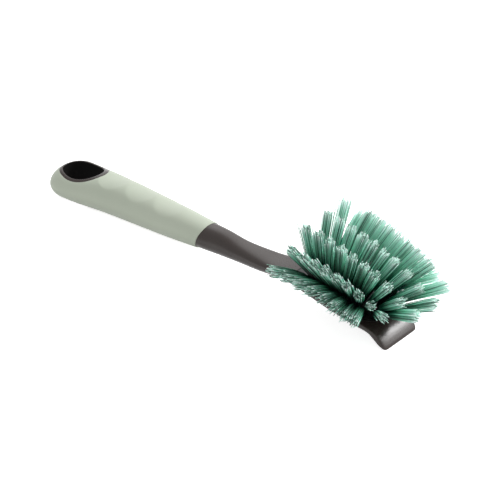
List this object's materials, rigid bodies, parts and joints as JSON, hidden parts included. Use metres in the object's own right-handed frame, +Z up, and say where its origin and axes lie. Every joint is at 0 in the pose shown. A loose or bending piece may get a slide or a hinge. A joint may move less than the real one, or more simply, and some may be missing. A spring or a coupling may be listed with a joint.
{
  "type": "dish brush",
  "caption": "Long-handled dish brush with a soft grip, a hanging hole, a fan of bristle tufts in a press-in block, and a scraper lip at the end of the head.",
  "frame": {"origin": "middle of the length and width of the whole brush, on the surface that it lies on with its bristles up", "axes": "+X along the handle from the hanging hole to the scraper lip, +Y across the handle, +Z up through the bristles"},
  "size_m": [0.2848, 0.0834, 0.0547],
  "materials": {
    "hard_plastic": "dark warm grey moulded plastic, satin",
    "soft_grip": "pale sage green soft-touch rubber, matt",
    "block_plastic": "dark warm grey moulded plastic, satin",
    "bristle": "sea green translucent nylon filaments with paler cut tips",
    "anchor_metal": "drawn flat wire"
  },
  "bodies": {
    "handle": {"handle_core": "hard_plastic", "grip_sleeve": "soft_grip"},
    "bristle_head": {"bristle_block": "block_plastic", "anchor_wires": "anchor_metal", "tuft_a1": "bristle", "tuft_a2": "bristle", "tuft_a3": "bristle", "tuft_a4": "bristle", "tuft_a5": "bristle", "tuft_a6": "bristle", "tuft_a7": "bristle", "tuft_a8": "bristle", "tuft_b1": "bristle", "tuft_b2": "bristle", "tuft_b3": "bristle", "tuft_b4": "bristle", "tuft_b5": "bristle", "tuft_b6": "bristle", "tuft_b7": "bristle", "tuft_b8": "bristle", "tuft_b9": "bristle", "tuft_c1": "bristle", "tuft_c2": "bristle", "tuft_c3": "bristle", "tuft_c4": "bristle", "tuft_c5": "bristle", "tuft_c6": "bristle", "tuft_c7": "bristle", "tuft_c8": "bristle", "tuft_c9": "bristle", "tuft_c10": "bristle", "tuft_d1": "bristle", "tuft_d2": "bristle", "tuft_d3": "bristle", "tuft_d4": "bristle", "tuft_d5": "bristle", "tuft_d6": "bristle", "tuft_d7": "bristle", "tuft_d8": "bristle", "tuft_d9": "bristle", "tuft_d10": "bristle", "tuft_e1": "bristle", "tuft_e2": "bristle", "tuft_e3": "bristle", "tuft_e4": "bristle", "tuft_e5": "bristle", "tuft_e6": "bristle", "tuft_e7": "bristle", "tuft_e8": "bristle", "tuft_e9": "bristle", "tuft_f1": "bristle", "tuft_f2": "bristle", "tuft_f3": "bristle", "tuft_f4": "bristle", "tuft_f5": "bristle", "tuft_f6": "bristle", "tuft_f7": "bristle", "tuft_f8": "bristle"}
  },
  "joints": [
    {"name": "bristle_head_lift", "type": "slide", "parent": "handle", "child": "bristle_head", "axis": [0.0976, 0, 0.9952], "range_m": [0, 0.02]}
  ]
}
